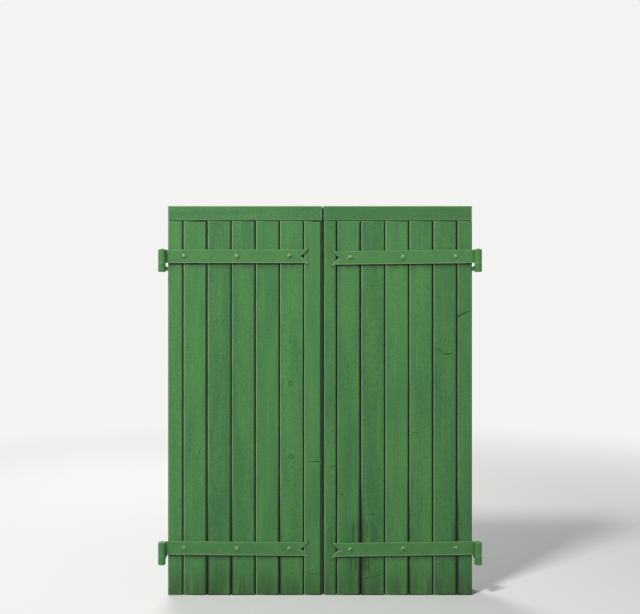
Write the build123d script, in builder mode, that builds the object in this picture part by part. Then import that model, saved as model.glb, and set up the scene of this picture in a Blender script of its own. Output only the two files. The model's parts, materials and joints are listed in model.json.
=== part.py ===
from build123d import *
from math import asin, cos, radians, sin, sqrt
import os

# A pair of board shutters, closed, in millimetres. +X is right and +Y is into the opening, seen from
# outside, and +Z is up. The origin is in the middle of the opening, at the foot of the leaves, on
# the plane of their outer faces. The leaves meet a little right of the middle.

# Leaves
leaf_height = 1167.0
leaf_thickness = 27.0
pair_half_width = 456.0  # middle of the opening to the outer edge of either leaf
arris = 0.6  # planed-off corner of every board and rail

# Boards, counted from the hinge side of each leaf
board_count = 7
outer_board_cover = 45.0  # first board, edge of the leaf to the first joint
meeting_board_cover = 49.5  # last joint to the middle of the opening
board_gap = 3.5  # open joint between two faces
tongue_thickness = 8.0
tongue_length = 10.0
tongue_clearance = 0.4  # between a tongue and the bottom and sides of its groove

# Top rail and the tongues on the boards' upper ends
rail_height = 43.0
rail_joint_gap = 1.6  # open joint under the rail
end_tongue_length = 10.0
end_tongue_setback = 8.0  # from the outer edge and from the meeting edge

# Meeting edges
left_face_end = 3.5  # X of the end of the left leaf's face
stub_length = 4.5  # what is left of the tongue on the left meeting board
meeting_gap = 4.0  # end of that tongue to the right leaf
left_rail_end = 5.7  # X of the end of the left rail
rail_meeting_gap = 5.1

# Strap hinges
strap_height = 40.0
strap_thickness = 4.0
tail_to_middle = 64.0  # notch of the fishtail to the middle of the opening
tail_length = 30.5  # notch to tips
tail_spread = 26.0  # tips above and below the middle of the strap
tail_flare = 16.0  # length over which the outer edges bend out
flare_bend = (0.6, 0.3)  # point of the flare's arc, as shares of its length and of its rise
notch_belly = 4.6  # sag of the notch's sides from a straight line
upper_strap_drop = 151.0  # top of the leaf to the middle of the strap
lower_strap_z = 142.0  # foot of the leaf to the middle of the strap
strap_droop = {
    ("left", "upper"): 0.0,
    ("left", "lower"): 0.45,
    ("right", "upper"): 0.65,
    ("right", "lower"): 0.8,
}  # degrees that the inner end hangs below level
eye_opening = 36.0  # degrees left open where the rolled eye comes back to the strap

# Pintles
pin_radius = 7.0
pin_running_clearance = 0.05
eye_seat_gap = 0.2  # eye above its boss
pin_proud = 3.0  # pin above its eye
boss_height = 27.0
neck_width = 16.0  # square neck between boss and shank
neck_length = 2.0  # its shoulder, past the plane of the leaves' faces
shank_radius = 7.0
shank_length = 90.0
eye_gap = 5.45  # outer edge of the leaf to the eye
boss_edge = 1.0  # broken edges of the boss
shank_point = 2.0  # bevel round the end of the shank

# Coach bolts through strap, board and ledge
bolt_radius = 3.0
bolt_hole_clearance = 0.3
bolt_head_radius = 8.0
bolt_head_height = 4.0
bolt_neck = 6.0
neck_clearance = 0.2
bolts_per_strap = 3
first_bolt_past_joint = 3.5  # first bolt beside the first joint of the boards
last_bolt_inset = 27.5  # from the notch of the fishtail
bolt_end_proud = 2.5
washer_radius = 9.0
washer_thickness = 1.6
nut_across_flats = 10.0
nut_height = 5.0

# Ledges on the inside
ledge_height = 95.0
ledge_thickness = 27.0
ledge_chamfer = 5.0
ledge_jamb_gap = 4.0
ledge_post_gap = 7.75

# Wood screws, ledge to board
screw_radius = 2.1
screw_head_radius = 4.2
screw_bite = 18.0  # length in the board
screw_fit = 0.05
screw_offset_z = 28.0  # above and below the middle of the ledge in turn

# Sliding bolts on the meeting boards
slide_radius = 5.0
slide_tail_gap = 6.5  # tail of the bar to the ledge
slide_travel = 20.0
slide_setback = 2.0  # tip inside the edge of the leaf, drawn back
slide_fit = 0.1
slide_tip_chamfer = 1.5
plate_post_gap = 3.75
plate_width = 26.0
plate_thickness = 2.5
plate_standoff = 1.0  # bar above its plate
guide_length = 10.0
guide_wall = 3.0
near_guide = 8.0  # edge of the leaf to the first guide
stem_radius = 3.0
stem_length = 7.0  # bar to knob
stem_seat = 4.0  # screwed into the bar
stem_gap = 1.5  # stem to the far guide, drawn back
knob_radius = 8.0
knob_height = 13.0
knob_bevel = 4.0
plate_margin = 4.0  # plate past its guides
plate_corner = 3.0
plate_screw_radius = 1.7
plate_screw_head = 3.3
plate_screw_bite = 15.5
plate_screw_inset = 4.5

# Frame in the opening, hidden behind the closed leaves, which they close against
frame_gap = 0.5  # leaves to the frame
jamb_width = 18.0
post_lap = 5.75  # middle post past the meeting edge of either leaf
crosspiece_height = 22.0  # head and bottom rail
crosspiece_thickness = 27.5
crosspiece_gap = 1.4  # to the guides of the sliding bolts
frame_tenon_length = 12.0
frame_tenon_thickness = 10.0
frame_tenon_shoulder = 6.0  # from the ends of the jambs
frame_tenon_clearance = 0.2
frame_screw_bite = 13.0  # length in the post

sides = {"left": -1, "right": 1}
levels = {"upper": leaf_height - upper_strap_drop, "lower": lower_strap_z}
face_tolerance = 1e-4
cut_margin = 1.0  # how far a cut starts outside what it cuts

rail_underside = leaf_height - rail_height
board_shoulder = rail_underside - rail_joint_gap
board_pitch = (pair_half_width - outer_board_cover - meeting_board_cover) / (board_count - 2)
tongue_front = (leaf_thickness - tongue_thickness) / 2
tongue_back = (leaf_thickness + tongue_thickness) / 2
groove_depth = tongue_length - board_gap + tongue_clearance
meeting_edge = {"left": left_face_end, "right": left_face_end + stub_length + meeting_gap}
rail_end = {"left": left_rail_end, "right": left_rail_end + rail_meeting_gap}
eye_bore = pin_radius + pin_running_clearance
eye_radius = eye_bore + strap_thickness
pin_x = pair_half_width + eye_gap + eye_radius
pin_y = -eye_radius
strap_reach = pin_x - tail_to_middle  # pin axis to notch
first_bolt = pin_x - pair_half_width + outer_board_cover + first_bolt_past_joint
last_bolt = strap_reach - last_bolt_inset
bolt_spacing = (last_bolt - first_bolt) / (bolts_per_strap - 1)
bolt_stations = [first_bolt + bolt_spacing * n for n in range(bolts_per_strap)]
ledge_back = leaf_thickness + ledge_thickness
screw_length = ledge_thickness + screw_bite
plate_face = leaf_thickness + plate_thickness
strap_blank_height = 4 * tail_spread
strap_blank_depth = 3 * eye_radius

# Frame
frame_front = leaf_thickness + frame_gap
jamb_face = pair_half_width - jamb_width
post_sides = (meeting_edge["left"] - post_lap, meeting_edge["right"] + post_lap)
post_x = sum(post_sides) / 2
plate_screw_length = plate_thickness + plate_screw_bite

# Sliding bolts. Heights are measured inwards from the edge of the leaf that the bolt passes.
slide_x = {
    side: meeting_edge[side] + sides[side] * (post_lap + plate_post_gap + plate_width / 2) for side in sides
}
slide_y = plate_face + plate_standoff + slide_radius
guide_radius = slide_radius + slide_fit + guide_wall
ledge_reach = min(upper_strap_drop, lower_strap_z) - ledge_height / 2
slide_length = ledge_reach - slide_tail_gap - slide_setback
far_guide = slide_setback + slide_length - slide_travel - guide_length
stem_height = far_guide - stem_gap - stem_radius
plate_start = near_guide - plate_margin
plate_end = far_guide + guide_length + plate_margin
plate_screw_heights = (near_guide + guide_length + plate_screw_inset, far_guide - plate_screw_inset)
crosspiece_front = slide_y + guide_radius + crosspiece_gap
frame_back = crosspiece_front + crosspiece_thickness


def joint_x(side, number):
    """X of the joint line after the given board; the pitch runs towards the meeting edge."""
    return sides[side] * (pair_half_width - outer_board_cover - (number - 1) * board_pitch)


def hinge_edge_x(side, number):
    """X of a board's edge towards the hinge, at the face."""
    if number == 1:
        return sides[side] * pair_half_width
    return joint_x(side, number - 1) - sides[side] * board_gap / 2


def inner_edge_x(side, number):
    """X of a board's edge towards the middle, at the face."""
    if number == board_count:
        return meeting_edge[side]
    return joint_x(side, number) + sides[side] * board_gap / 2


def strap_point(side, level, along, above=0.0):
    """X and Z of a point on a strap, from its pin axis along the strap and above its middle."""
    droop = radians(strap_droop[side, level])
    reach = along * cos(droop) - above * sin(droop)
    return -sides[side] * reach + sides[side] * pin_x, levels[level] - along * sin(droop) + above * cos(droop)


def bolt_points(side):
    """Centres of all coach bolts of a leaf, in the plane of its face."""
    return [strap_point(side, level, station) for level in levels for station in bolt_stations]


def ledge_ends(side):
    """X of the hinge end and of the inner end of a ledge."""
    outer = sides[side] * (jamb_face - ledge_jamb_gap)
    return outer, meeting_edge[side] + sides[side] * (post_lap + ledge_post_gap)


def screw_x(side, number):
    """Middle of the stretch where a board and a ledge lie on each other."""
    outer, inner = ledge_ends(side)
    start = min(abs(hinge_edge_x(side, number)), abs(outer))
    end = inner if number == board_count else inner_edge_x(side, number)
    return (sides[side] * start + end) / 2


def screw_points(side, number):
    """Screw centres of one board: above the middle of one ledge and below that of the other."""
    turn = 1 if number % 2 else -1
    return [
        (screw_x(side, number), levels["upper"] + turn * screw_offset_z),
        (screw_x(side, number), levels["lower"] - turn * screw_offset_z),
    ]


def all_screw_points(side):
    return [point for number in range(1, board_count + 1) for point in screw_points(side, number)]


def dome_middle(radius, height):
    """Point halfway along the arc of a round cap, from its axis and above its foot."""
    sphere = (radius**2 + height**2) / (2 * height)
    half_turn = asin(radius / sphere) / 2
    return sphere * sin(half_turn), height - sphere * (1 - cos(half_turn))


def finish(part, name):
    """Label a finished piece and write it."""
    part.label = name
    export_step(part, f"parts/{name}.step")


def face_plane(depth):
    """Plane facing outwards at a given depth, with its X to the right and its Y up."""
    return Plane(origin=(0, depth, 0), x_dir=(1, 0, 0), z_dir=(0, -1, 0))


def room_plane(depth):
    """Plane facing into the room at a given depth, with its X to the right and its Y down."""
    return Plane(origin=(0, depth, 0), x_dir=(1, 0, 0), z_dir=(0, 1, 0))


def middle_edge(side, number):
    """Plan points of a board's edge towards the middle, from front to back: a tongue, or plain."""
    x = inner_edge_x(side, number)
    if (side, number) == ("right", board_count):
        return [(x, 0), (x, leaf_thickness)]
    tip = x - sides[side] * (stub_length if number == board_count else tongue_length)
    tongue = [(x, tongue_front), (tip, tongue_front), (tip, tongue_back), (x, tongue_back)]
    return [(x, 0), *tongue, (x, leaf_thickness)]


def screw_hole(radius, head_radius):
    """Countersunk hole that a screw fills but for its fit."""
    CounterSinkHole(radius + screw_fit, head_radius + screw_fit, counter_sink_angle=90)


def hinge_edge(side, number):
    """Plan points of a board's edge towards the hinge, from back to front: plain, or grooved."""
    x = hinge_edge_x(side, number)
    if number == 1:
        return [(x, leaf_thickness), (x, 0)]
    floor = x - sides[side] * groove_depth
    front = tongue_front - tongue_clearance
    back = tongue_back + tongue_clearance
    return [(x, leaf_thickness), (x, back), (floor, back), (floor, front), (x, front), (x, 0)]


def face_corners(sketch):
    """Corners of a plan outline that lie on the front or on the rear face of the leaf."""
    return [
        corner
        for corner in sketch.vertices()
        if min(abs(corner.Y), abs(corner.Y - leaf_thickness)) < face_tolerance
    ]


def end_tongue_span(side, number):
    """X of both ends of the tongue on a board's upper end."""
    inset = end_tongue_setback if number == 1 else groove_depth
    start = hinge_edge_x(side, number) - sides[side] * inset
    end = inner_edge_x(side, number)
    if number == board_count:
        end += sides[side] * end_tongue_setback
    return start, end


def make_board(side, number):
    """One board: moulded plan outline, tongue on the upper end, holes for bolts and screws."""
    start, end = end_tongue_span(side, number)
    with BuildPart() as board:
        with BuildSketch(Plane.XY) as plan:
            with BuildLine():
                Polyline(*middle_edge(side, number), *hinge_edge(side, number), close=True)
            make_face()
            chamfer(face_corners(plan), length=arris)
        extrude(amount=board_shoulder)
        with BuildSketch(Plane.XY.offset(board_shoulder)):
            with Locations(((start + end) / 2, leaf_thickness / 2)):
                Rectangle(abs(start - end), tongue_thickness)
        extrude(amount=rail_joint_gap + end_tongue_length)
        with BuildSketch(face_plane(0)):
            with Locations(*bolt_points(side)):
                Circle(bolt_radius + bolt_hole_clearance)
        extrude(amount=-leaf_thickness, mode=Mode.SUBTRACT)
        with BuildSketch(face_plane(leaf_thickness)):
            with Locations(*screw_points(side, number)):
                Circle(screw_radius + screw_fit)
        extrude(amount=screw_bite, mode=Mode.SUBTRACT)
        if number >= board_count - 1:
            with BuildSketch(face_plane(leaf_thickness)):
                with Locations(*plate_screw_points(side, "upper"), *plate_screw_points(side, "lower")):
                    Circle(plate_screw_radius + screw_fit)
            extrude(amount=plate_screw_bite, mode=Mode.SUBTRACT)
    finish(board.part, f"{side}_board_{number}")


def make_rail(side):
    """Top rail, with a stopped groove in its underside for the boards' end tongues."""
    edge = sides[side] * pair_half_width
    start = end_tongue_span(side, 1)[0] + sides[side] * tongue_clearance
    end = end_tongue_span(side, board_count)[1] - sides[side] * tongue_clearance
    with BuildPart() as rail:
        with BuildSketch(Plane.XY.offset(rail_underside)):
            with Locations(((edge + rail_end[side]) / 2, leaf_thickness / 2)):
                Rectangle(abs(edge - rail_end[side]), leaf_thickness)
        extrude(amount=rail_height)
        chamfer(rail.faces().sort_by(Axis.Z)[-1].edges(), length=arris)
        chamfer(rail.edges().filter_by(Axis.Z), length=arris)
        with BuildSketch(Plane.XY.offset(rail_underside)):
            with Locations(((start + end) / 2, leaf_thickness / 2)):
                Rectangle(abs(start - end), tongue_thickness + 2 * tongue_clearance)
        extrude(amount=end_tongue_length + tongue_clearance, mode=Mode.SUBTRACT)
        with BuildSketch(face_plane(leaf_thickness)):
            with Locations(*plate_screw_points(side, "upper")):
                Circle(plate_screw_radius + screw_fit)
        extrude(amount=plate_screw_bite, mode=Mode.SUBTRACT)
    finish(rail.part, f"{side}_top_rail")


def make_ledge(side, level):
    """Ledge across the inside of a leaf, with bevelled edges towards the room."""
    outer, inner = ledge_ends(side)
    centre = ((outer + inner) / 2, levels[level])
    screws = [point for point in all_screw_points(side) if abs(point[1] - levels[level]) < ledge_height / 2]
    with BuildPart() as ledge:
        with BuildSketch(face_plane(leaf_thickness)):
            with Locations(centre):
                Rectangle(abs(outer - inner), ledge_height)
        extrude(amount=-ledge_thickness)
        chamfer(ledge.faces().sort_by(Axis.Y)[-1].edges(), length=ledge_chamfer)
        with Locations(face_plane(ledge_back)):
            with Locations(*[strap_point(side, level, station) for station in bolt_stations]):
                Hole(bolt_radius + bolt_hole_clearance)
        with Locations(room_plane(ledge_back)):
            with Locations(*[(x, -z) for x, z in screws]):
                screw_hole(screw_radius, screw_head_radius)
    finish(ledge.part, f"{side}_{level}_ledge")


def strap_plan(side, level):
    """Plan section of a strap: a rolled eye round the pin, and a flat that leaves it at a tangent."""
    sign = sides[side]
    axis_x = sign * pin_x
    tip_x = axis_x - sign * (strap_reach + tail_length + strap_thickness)
    end_cut = radians(90 - eye_opening)
    half_way = end_cut / 2 - radians(180)

    def on_eye(radius, turn):
        return axis_x - sign * radius * sin(turn), pin_y + radius * cos(turn)

    with BuildSketch(Plane.XY) as plan:
        with BuildLine():
            Line(on_eye(eye_bore, 0), (tip_x, pin_y + eye_bore))
            Line((tip_x, pin_y + eye_bore), (tip_x, pin_y + eye_radius))
            Line((tip_x, pin_y + eye_radius), on_eye(eye_radius, 0))
            ThreePointArc(on_eye(eye_radius, 0), on_eye(eye_radius, half_way), on_eye(eye_radius, end_cut))
            Line(on_eye(eye_radius, end_cut), on_eye(eye_bore, end_cut))
            ThreePointArc(on_eye(eye_bore, end_cut), on_eye(eye_bore, half_way), on_eye(eye_bore, 0))
        make_face()
    return plan.sketch


def strap_outline(side, level):
    """Outline of a strap from the front: level eye, slightly drooping flat, fishtail with curved edges."""
    sign = sides[side]
    half = strap_height / 2
    leaf_edge = pin_x - pair_half_width
    middle_z = levels[level]
    notch = strap_point(side, level, strap_reach)

    def edge(along, above):
        return strap_point(side, level, along, above)

    def flare_middle(direction):
        along = strap_reach + tail_length - tail_flare * (1 - flare_bend[0])
        return edge(along, direction * (half + (tail_spread - half) * flare_bend[1]))

    def belly(direction):
        chord = sqrt(tail_length**2 + tail_spread**2)
        along = strap_reach + tail_length / 2 + notch_belly * tail_spread / chord
        above = tail_spread / 2 - notch_belly * tail_length / chord
        return edge(along, direction * above)

    far = sign * (pin_x + eye_radius)
    near = sign * (pin_x - eye_radius)
    flare_start = strap_reach + tail_length - tail_flare
    tip = strap_reach + tail_length
    with BuildSketch(face_plane(0)) as outline:
        with BuildLine():
            Polyline(
                edge(leaf_edge, half),
                (near, middle_z + half),
                (far, middle_z + half),
                (far, middle_z - half),
                (near, middle_z - half),
                edge(leaf_edge, -half),
                edge(flare_start, -half),
            )
            ThreePointArc(
                edge(flare_start, -half),
                flare_middle(-1),
                edge(tip, -tail_spread),
            )
            ThreePointArc(edge(tip, -tail_spread), belly(-1), notch)
            ThreePointArc(notch, belly(1), edge(tip, tail_spread))
            ThreePointArc(
                edge(tip, tail_spread),
                flare_middle(1),
                edge(flare_start, half),
            )
            Line(edge(flare_start, half), edge(leaf_edge, half))
        make_face()
    return outline.sketch


def make_strap(side, level):
    """Strap hinge: the plan section carried up, then cut to the outline seen from the front."""
    plan = strap_plan(side, level)
    outline = strap_outline(side, level)
    with BuildPart() as strap:
        with BuildSketch(Plane.XY.offset(levels[level] - strap_blank_height / 2)):
            add(plan)
        extrude(amount=strap_blank_height)
        extrude(outline, amount=strap_blank_depth, both=True, mode=Mode.INTERSECT)
        with BuildSketch(face_plane(0)):
            for station in bolt_stations:
                with Locations(strap_point(side, level, station)):
                    Rectangle(bolt_neck + 2 * neck_clearance, bolt_neck + 2 * neck_clearance)
        extrude(amount=strap_thickness + cut_margin, mode=Mode.SUBTRACT)
    finish(strap.part, f"{side}_{level}_strap")


def make_pintle(side, level):
    """Pintle forged in one: boss, upright pin with a rounded top, square neck and round shank."""
    seat = levels[level] - strap_height / 2 - eye_seat_gap
    pin_height = eye_seat_gap + strap_height + pin_proud
    axis = Plane(origin=(sides[side] * pin_x, pin_y, seat), x_dir=(1, 0, 0), z_dir=(0, -1, 0))
    dome_x, dome_z = dome_middle(pin_radius, pin_proud)
    with BuildPart() as pintle:
        with BuildSketch(axis):
            with BuildLine():
                Polyline(
                    (0, -boss_height),
                    (eye_radius - boss_edge, -boss_height),
                    (eye_radius, boss_edge - boss_height),
                    (eye_radius, -boss_edge),
                    (eye_radius - boss_edge, 0),
                    (pin_radius, 0),
                    (pin_radius, pin_height - pin_proud),
                )
                ThreePointArc(
                    (pin_radius, pin_height - pin_proud),
                    (dome_x, pin_height - pin_proud + dome_z),
                    (0, pin_height),
                )
                Line((0, pin_height), (0, -boss_height))
            make_face()
        revolve(axis=Axis((sides[side] * pin_x, pin_y, 0), (0, 0, 1)))
        middle = (sides[side] * pin_x, seat - boss_height / 2)
        with BuildSketch(face_plane(pin_y)):
            with Locations(middle):
                Rectangle(neck_width, neck_width)
        extrude(amount=pin_y - neck_length)
        with BuildSketch(face_plane(neck_length)):
            with Locations(middle):
                Circle(shank_radius)
        extrude(amount=neck_length - shank_length)
        shank_end = pintle.faces().sort_by(Axis.Y)[-1]
        chamfer(shank_end.edges(), length=shank_point)
    finish(pintle.part, f"{side}_{level}_pintle")


def make_coach_bolts(side):
    """Cup-headed coach bolts with a square neck that sits in the strap's square hole."""
    under_head = -strap_thickness
    end = ledge_back + washer_thickness + nut_height + bolt_end_proud
    dome_x, dome_y = dome_middle(bolt_head_radius, bolt_head_height)
    with BuildPart() as bolts:
        for x, z in bolt_points(side):
            middle = Plane(origin=(x, under_head, z), x_dir=(1, 0, 0), z_dir=(0, 0, 1))
            with BuildSketch(middle):
                with BuildLine():
                    ThreePointArc((0, -bolt_head_height), (dome_x, -dome_y), (bolt_head_radius, 0))
                    Line((bolt_head_radius, 0), (0, 0))
                    Line((0, 0), (0, -bolt_head_height))
                make_face()
            revolve(axis=Axis((x, 0, z), (0, 1, 0)))
            with BuildSketch(Plane(origin=(x, under_head, z), x_dir=(1, 0, 0), z_dir=(0, 1, 0))):
                Rectangle(bolt_neck, bolt_neck)
            extrude(amount=strap_thickness)
            with BuildSketch(Plane(origin=(x, 0, z), x_dir=(1, 0, 0), z_dir=(0, 1, 0))):
                Circle(bolt_radius)
            extrude(amount=end)
    finish(bolts.part, f"{side}_coach_bolts")


def make_washers(side):
    with BuildPart() as washers:
        with BuildSketch(face_plane(ledge_back)):
            with Locations(*bolt_points(side)):
                Circle(washer_radius)
                Circle(bolt_radius + bolt_hole_clearance, mode=Mode.SUBTRACT)
        extrude(amount=-washer_thickness)
    finish(washers.part, f"{side}_washers")


def make_nuts(side):
    with BuildPart() as nuts:
        with BuildSketch(face_plane(ledge_back + washer_thickness)):
            with Locations(*bolt_points(side)):
                RegularPolygon(nut_across_flats / 2, 6, major_radius=False)
                Circle(bolt_radius + screw_fit, mode=Mode.SUBTRACT)
        extrude(amount=-nut_height)
    finish(nuts.part, f"{side}_nuts")


def screw_solid(radius, head_radius, length):
    """A countersunk wood screw that points along -Y, with the top of its head at the origin."""
    head = head_radius - radius
    with BuildPart() as screw:
        with BuildSketch(Plane.XY):
            with BuildLine():
                shank = [(radius, -head), (radius, -length), (0, -length)]
                Polyline((0, 0), (head_radius, 0), *shank, close=True)
            make_face()
        revolve(axis=Axis.Y)
    return screw.part


def make_screws(name, radius, head_radius, length, points):
    """Screws with the tops of their heads at the given points."""
    screw = screw_solid(radius, head_radius, length)
    with BuildPart() as screws:
        with Locations(*points):
            add(screw)
    finish(screws.part, name)


def from_edge(level, height):
    """Z of a height that is measured inwards from the upper or the lower edge of the leaf."""
    return leaf_height - height if level == "upper" else height


def plate_screw_points(side, level):
    """X and Z of the four screws of a bolt plate."""
    offset = plate_width / 2 - plate_screw_inset
    return [
        (slide_x[side] + across, from_edge(level, height))
        for across in (-offset, offset)
        for height in plate_screw_heights
    ]


def make_slide_plate(side, level):
    """Plate of a sliding bolt with its two arched guides, cast in one."""
    screws = plate_screw_points(side, level)
    with BuildPart() as plate:
        with BuildSketch(face_plane(leaf_thickness)):
            with Locations((slide_x[side], from_edge(level, (plate_start + plate_end) / 2))):
                RectangleRounded(plate_width, plate_end - plate_start, plate_corner)
        extrude(amount=-plate_thickness)
        for height in (near_guide, far_guide):
            low = min(from_edge(level, height), from_edge(level, height + guide_length))
            with BuildSketch(Plane.XY.offset(low)):
                with Locations((slide_x[side], slide_y)):
                    Circle(guide_radius)
                with Locations((slide_x[side], (leaf_thickness + slide_y) / 2)):
                    Rectangle(2 * guide_radius, slide_y - leaf_thickness)
            extrude(amount=guide_length)
        with BuildSketch(Plane.XY):
            with Locations((slide_x[side], slide_y)):
                Circle(slide_radius + slide_fit)
        extrude(amount=leaf_height, mode=Mode.SUBTRACT)
        with Locations(room_plane(plate_face)):
            with Locations(*[(x, -z) for x, z in screws]):
                screw_hole(plate_screw_radius, plate_screw_head)
    finish(plate.part, f"{side}_{level}_bolt_plate")


def make_slide(side, level):
    """Sliding bolt, drawn back: a round bar with an eased tip and a tapped hole for its knob."""
    low = min(from_edge(level, slide_setback), from_edge(level, slide_setback + slide_length))
    with BuildPart() as slide:
        with BuildSketch(Plane.XY.offset(low)):
            with Locations((slide_x[side], slide_y)):
                Circle(slide_radius)
        extrude(amount=slide_length)
        tip = slide.faces().sort_by(Axis.Z)[-1 if level == "upper" else 0]
        chamfer(tip.edges(), length=slide_tip_chamfer)
        with BuildSketch(face_plane(slide_y + slide_radius)):
            with Locations((slide_x[side], from_edge(level, stem_height))):
                Circle(stem_radius + screw_fit)
        extrude(amount=stem_seat, mode=Mode.SUBTRACT)
    finish(slide.part, f"{side}_{level}_sliding_bolt")


def make_knob(side, level):
    """Turned knob that screws into its sliding bolt and stands towards the room."""
    foot = (slide_x[side], slide_y + slide_radius, from_edge(level, stem_height))
    top = stem_length + knob_height
    with BuildPart() as knob:
        with BuildSketch(Plane(origin=foot, x_dir=(1, 0, 0), z_dir=(0, 0, 1))):
            with BuildLine():
                Polyline(
                    (0, -stem_seat),
                    (stem_radius, -stem_seat),
                    (stem_radius, stem_length),
                    (knob_radius, stem_length + knob_height / 2),
                    (knob_radius, top - knob_bevel),
                    (knob_radius - knob_bevel, top),
                    (0, top),
                    close=True,
                )
            make_face()
        revolve(axis=Axis(foot, (0, 1, 0)))
    finish(knob.part, f"{side}_{level}_bolt_knob")


def block(x, y, z, mode=Mode.ADD):
    """A block between two values on each axis, in the current part."""
    spans = (x, y, z)
    with Locations(tuple((span[0] + span[1]) / 2 for span in spans)):
        Box(*[abs(span[1] - span[0]) for span in spans], mode=mode)


def crosspiece_span(level):
    """Lowest and highest Z of the head or of the bottom rail."""
    return sorted((from_edge(level, 0), from_edge(level, crosspiece_height)))


def frame_tenon(side, level, clearance):
    """Spans of a tenon of the head or bottom rail, grown by the clearance for its mortise."""
    middle = (crosspiece_front + frame_back) / 2
    half = frame_tenon_thickness / 2 + clearance
    start = sides[side] * jamb_face
    tip = start + sides[side] * (frame_tenon_length + clearance)
    low, high = sorted((from_edge(level, frame_tenon_shoulder), from_edge(level, crosspiece_height)))
    return (start, tip), (middle - half, middle + half), (low - clearance, high + clearance)


def make_jamb(side):
    """Upright of the frame, with a mortise for the head and one for the bottom rail."""
    edges = (sides[side] * jamb_face, sides[side] * pair_half_width)
    with BuildPart() as jamb:
        block(edges, (frame_front, frame_back), (0, leaf_height))
        chamfer(jamb.edges().filter_by(Axis.Z), length=arris)
        for level in levels:
            block(*frame_tenon(side, level, frame_tenon_clearance), mode=Mode.SUBTRACT)
    finish(jamb.part, f"{side}_jamb")


def make_crosspiece(level, name):
    """Head or bottom rail of the frame, tenoned into the jambs and screwed to the middle post."""
    with BuildPart() as crosspiece:
        block((-jamb_face, jamb_face), (crosspiece_front, frame_back), crosspiece_span(level))
        chamfer(crosspiece.edges().filter_by(Axis.X), length=arris)
        for side in sides:
            block(*frame_tenon(side, level, 0))
        with Locations(room_plane(frame_back)):
            with Locations((post_x, -from_edge(level, crosspiece_height / 2))):
                screw_hole(screw_radius, screw_head_radius)
    finish(crosspiece.part, name)


def make_post():
    """Middle post behind the meeting edges, halved over the head and the bottom rail."""
    with BuildPart() as post:
        block(post_sides, (frame_front, crosspiece_front), (0, leaf_height))
        chamfer(post.faces().sort_by(Axis.Y)[0].edges().filter_by(Axis.Z), length=arris)
        between = (crosspiece_height, leaf_height - crosspiece_height)
        block(post_sides, (crosspiece_front, frame_back), between)
        chamfer(post.faces().sort_by(Axis.Y)[-1].edges().filter_by(Axis.Z), length=arris)
        with BuildSketch(face_plane(crosspiece_front)):
            with Locations(*[(post_x, from_edge(level, crosspiece_height / 2)) for level in levels]):
                Circle(screw_radius + screw_fit)
        extrude(amount=frame_screw_bite, mode=Mode.SUBTRACT)
    finish(post.part, "middle_post")


for side_name in sides:
    for board_number in range(1, board_count + 1):
        make_board(side_name, board_number)
    make_rail(side_name)
    make_jamb(side_name)
    for level_name in levels:
        make_ledge(side_name, level_name)
        make_strap(side_name, level_name)
        make_pintle(side_name, level_name)
        make_slide_plate(side_name, level_name)
        make_slide(side_name, level_name)
        make_knob(side_name, level_name)
    make_coach_bolts(side_name)
    make_washers(side_name)
    make_nuts(side_name)
    ledge_screws = [(x, ledge_back, z) for x, z in all_screw_points(side_name)]
    make_screws(f"{side_name}_ledge_screws", screw_radius, screw_head_radius, screw_length, ledge_screws)
    plate_points = [point for level_name in levels for point in plate_screw_points(side_name, level_name)]
    plate_screws = [(x, plate_face, z) for x, z in plate_points]
    screw_name = f"{side_name}_bolt_plate_screws"
    make_screws(screw_name, plate_screw_radius, plate_screw_head, plate_screw_length, plate_screws)
make_crosspiece("upper", "frame_head")
make_crosspiece("lower", "frame_bottom_rail")
make_post()
frame_screw_length = crosspiece_thickness + frame_screw_bite
frame_screws = [(post_x, frame_back, from_edge(level_name, crosspiece_height / 2)) for level_name in levels]
make_screws("frame_screws", screw_radius, screw_head_radius, frame_screw_length, frame_screws)
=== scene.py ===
import bmesh
import bpy
import json
from bpy.props import FloatProperty, FloatVectorProperty, PointerProperty
from bpy.types import Operator, Panel, PropertyGroup
from math import cos, exp, pi, radians, sin
from mathutils import Matrix, Vector, noise
from random import Random


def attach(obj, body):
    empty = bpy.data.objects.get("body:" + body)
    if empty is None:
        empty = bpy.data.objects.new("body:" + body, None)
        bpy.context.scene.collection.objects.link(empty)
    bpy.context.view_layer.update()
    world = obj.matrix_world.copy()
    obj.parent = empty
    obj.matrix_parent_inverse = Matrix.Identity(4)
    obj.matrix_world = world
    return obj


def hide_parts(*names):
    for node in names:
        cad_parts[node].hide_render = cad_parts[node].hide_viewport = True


bl_info = {
    "name": "Board shutters",
    "version": (1, 0, 0),
    "blender": (4, 5, 0),
    "location": "3D View > Sidebar > Shutters",
    "description": "A pair of painted board shutters on strap hinges, with their frame",
    "category": "Object",
}

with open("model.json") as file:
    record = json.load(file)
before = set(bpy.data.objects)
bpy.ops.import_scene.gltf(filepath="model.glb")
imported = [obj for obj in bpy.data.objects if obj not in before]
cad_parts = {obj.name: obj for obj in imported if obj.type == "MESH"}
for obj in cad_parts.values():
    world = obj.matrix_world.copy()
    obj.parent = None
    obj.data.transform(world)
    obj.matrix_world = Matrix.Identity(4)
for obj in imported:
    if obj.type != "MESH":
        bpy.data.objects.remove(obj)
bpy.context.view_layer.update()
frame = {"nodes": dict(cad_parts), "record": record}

MM = 0.001
SIDES = ("left", "right")
LEVELS = ("upper", "lower")
PLACES = [(side, level) for side in SIDES for level in LEVELS]
UNDOABLE = {"REGISTER", "UNDO"}
BOARD_PAINT, RAIL_PAINT, IRON_PAINT = "paint_along_boards", "paint_along_rails", "thick_green_paint"
ZINC, STEEL, LINING = "dull_zinc", "rubbed_steel", "crack_lining"
X, Z = 0, 2  # axes by number

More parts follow.
